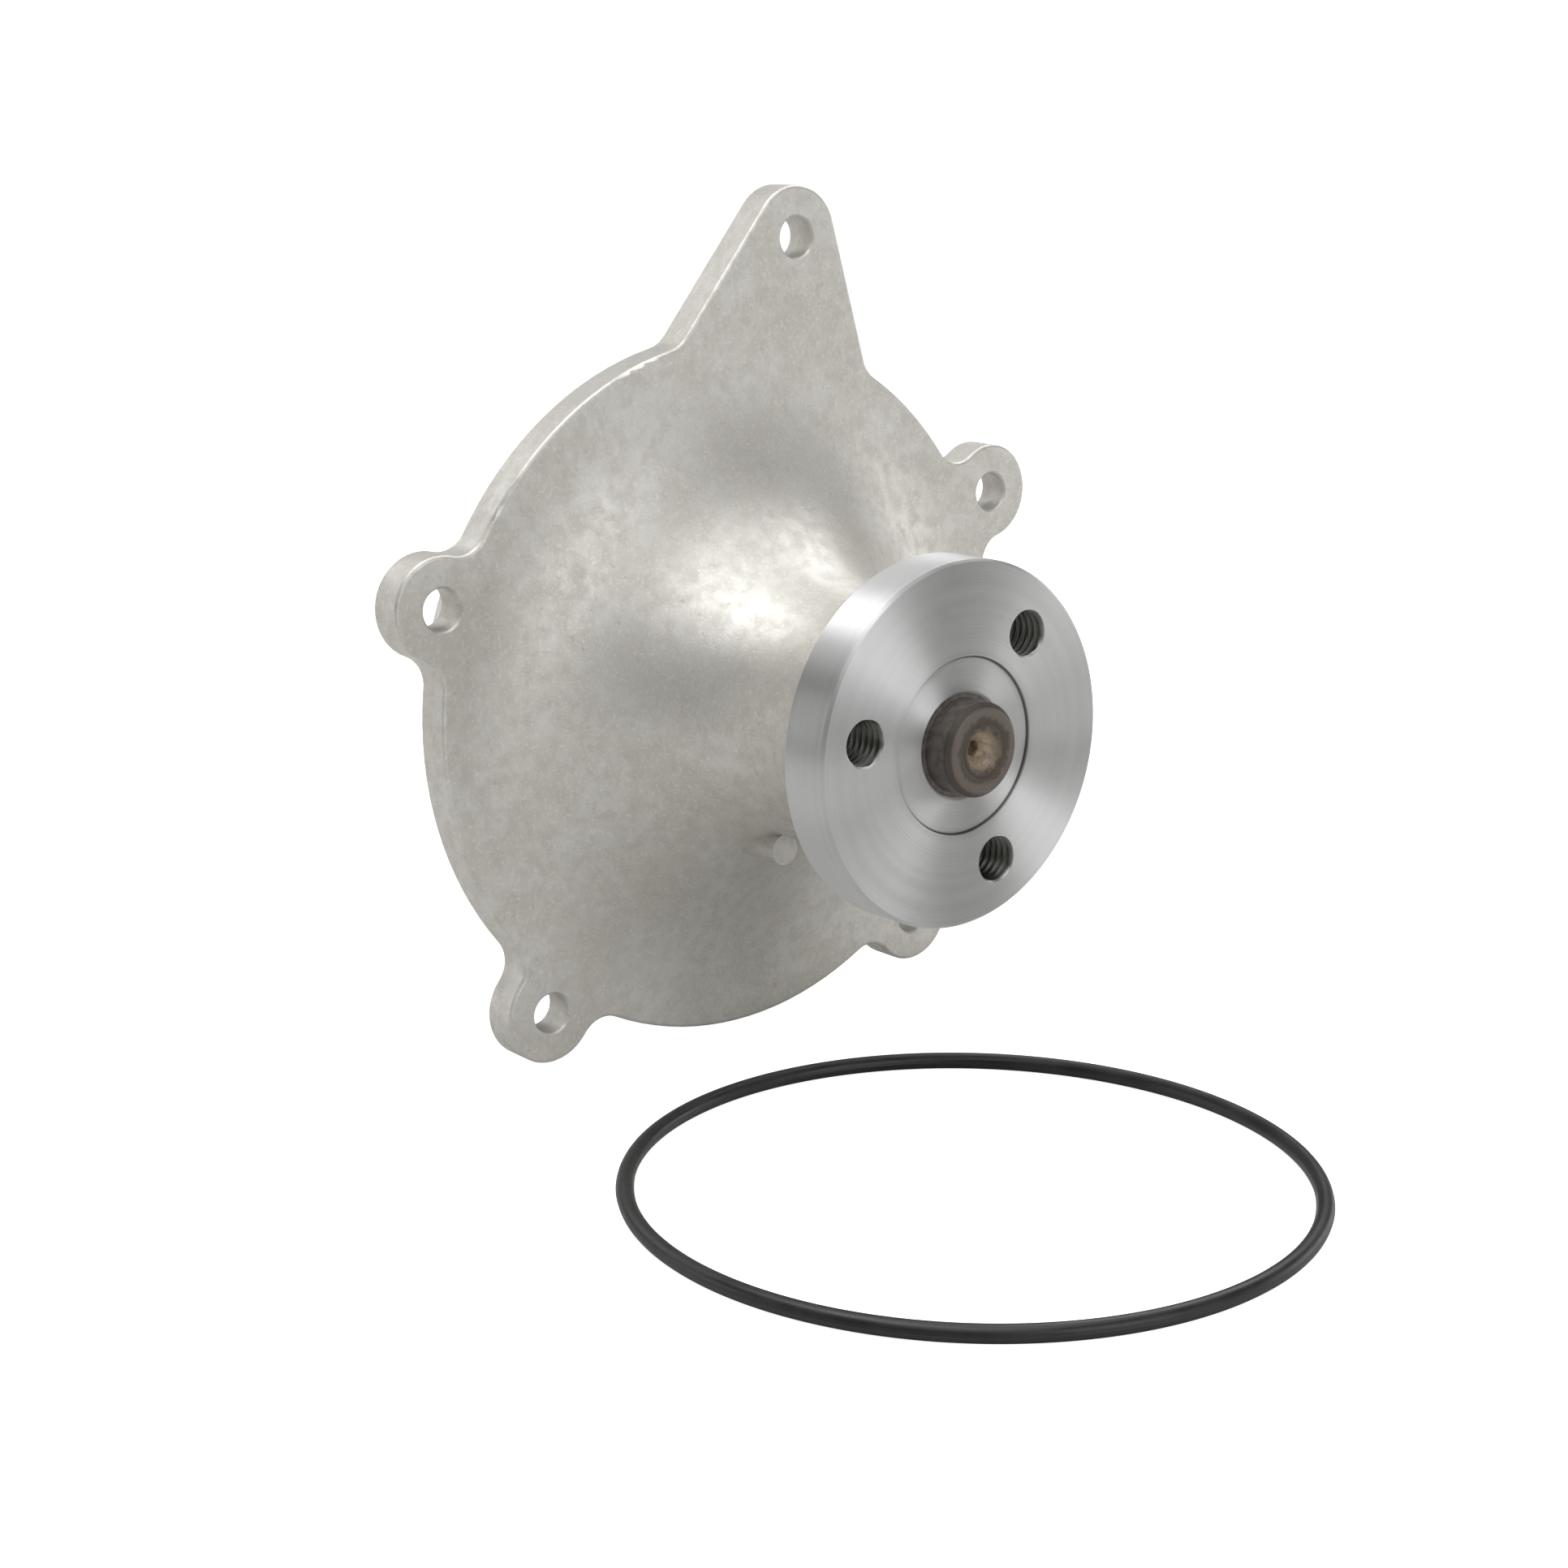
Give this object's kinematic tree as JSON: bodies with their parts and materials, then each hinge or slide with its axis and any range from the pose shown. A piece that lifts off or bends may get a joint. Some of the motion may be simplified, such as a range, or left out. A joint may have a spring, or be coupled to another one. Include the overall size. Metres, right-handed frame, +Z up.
{
  "type": "water pump",
  "caption": "Engine water pump with a cast bell housing, bolt ears, a turned pulley flange on the shaft nose, an impeller behind, and its loose O-ring.",
  "frame": {"origin": "where the shaft axis meets the mounting face of the plate", "axes": "+Y along the shaft into the engine (the pulley flange faces -Y), +Z up towards the pointed ear, +X right seen from the front"},
  "size_m": [0.1361, 0.1619, 0.1378],
  "materials": {
    "cast_aluminium": "matt cast, tumbled",
    "turned_steel": "bright turned",
    "shaft_steel": "ground, heat-tinted brown at the nose",
    "bearing_steel": "ground",
    "spring_steel": "drawn and pressed stainless",
    "pressed_brass": "pressed sheet",
    "seal_rubber": "moulded",
    "o_ring_rubber": "soft sheen",
    "seal_ceramic": "lapped face",
    "seal_carbon": "lapped carbon",
    "cage_nylon": "moulded nylon",
    "moulded_impeller": "glass-filled moulding"
  },
  "bodies": {
    "housing": {"housing": "cast_aluminium", "bearing_outer_ring": "bearing_steel", "bearing_seal_front": "seal_rubber", "bearing_seal_rear": "seal_rubber", "seal_case": "pressed_brass", "seal_bellows": "seal_rubber", "seal_spring": "spring_steel"},
    "rotor": {"shaft": "shaft_steel", "hub_flange": "turned_steel", "slinger": "seal_rubber", "seal_mating_ring": "seal_ceramic", "seal_mating_boot": "seal_rubber", "impeller": "moulded_impeller", "impeller_insert": "bearing_steel"},
    "ball_row": {"ball_cage": "cage_nylon", "ball_1": "bearing_steel", "ball_2": "bearing_steel", "ball_3": "bearing_steel", "ball_4": "bearing_steel", "ball_5": "bearing_steel", "ball_6": "bearing_steel", "ball_7": "bearing_steel", "ball_8": "bearing_steel"},
    "roller_row": {"roller_cage": "cage_nylon", "roller_1": "bearing_steel", "roller_2": "bearing_steel", "roller_3": "bearing_steel", "roller_4": "bearing_steel", "roller_5": "bearing_steel", "roller_6": "bearing_steel", "roller_7": "bearing_steel", "roller_8": "bearing_steel", "roller_9": "bearing_steel", "roller_10": "bearing_steel"},
    "seal_face": {"seal_carbon_ring": "seal_carbon", "seal_carbon_holder": "spring_steel"},
    "loose_o_ring": {"body_o_ring": "o_ring_rubber"}
  },
  "joints": [
    {"name": "shaft_spin", "type": "hinge", "parent": "housing", "child": "rotor", "pos_m": [0, 0, 0], "axis": [0, 1, 0], "continuous": true},
    {"name": "ball_row_roll", "type": "hinge", "parent": "housing", "child": "ball_row", "pos_m": [0, -0.0165, 0], "axis": [0, 1, 0], "continuous": true},
    {"name": "roller_row_roll", "type": "hinge", "parent": "housing", "child": "roller_row", "pos_m": [0, -0.0385, 0], "axis": [0, 1, 0], "continuous": true},
    {"name": "seal_face_float", "type": "slide", "parent": "housing", "child": "seal_face", "axis": [0, -1, 0], "range_m": [0, 0.001], "stiffness_N_per_m": 1500, "springref_m": -0.002, "deforming": ["seal_spring", "seal_bellows"]},
    {"name": "o_ring_lift", "type": "slide", "parent": "housing", "child": "loose_o_ring", "axis": [0, 0, 1], "range_m": [0, 0.02]}
  ],
  "couplings": [
    {"joint": "ball_row_roll", "follows": "shaft_spin", "ratio": 0.35603},
    {"joint": "roller_row_roll", "follows": "shaft_spin", "ratio": 0.3997}
  ]
}
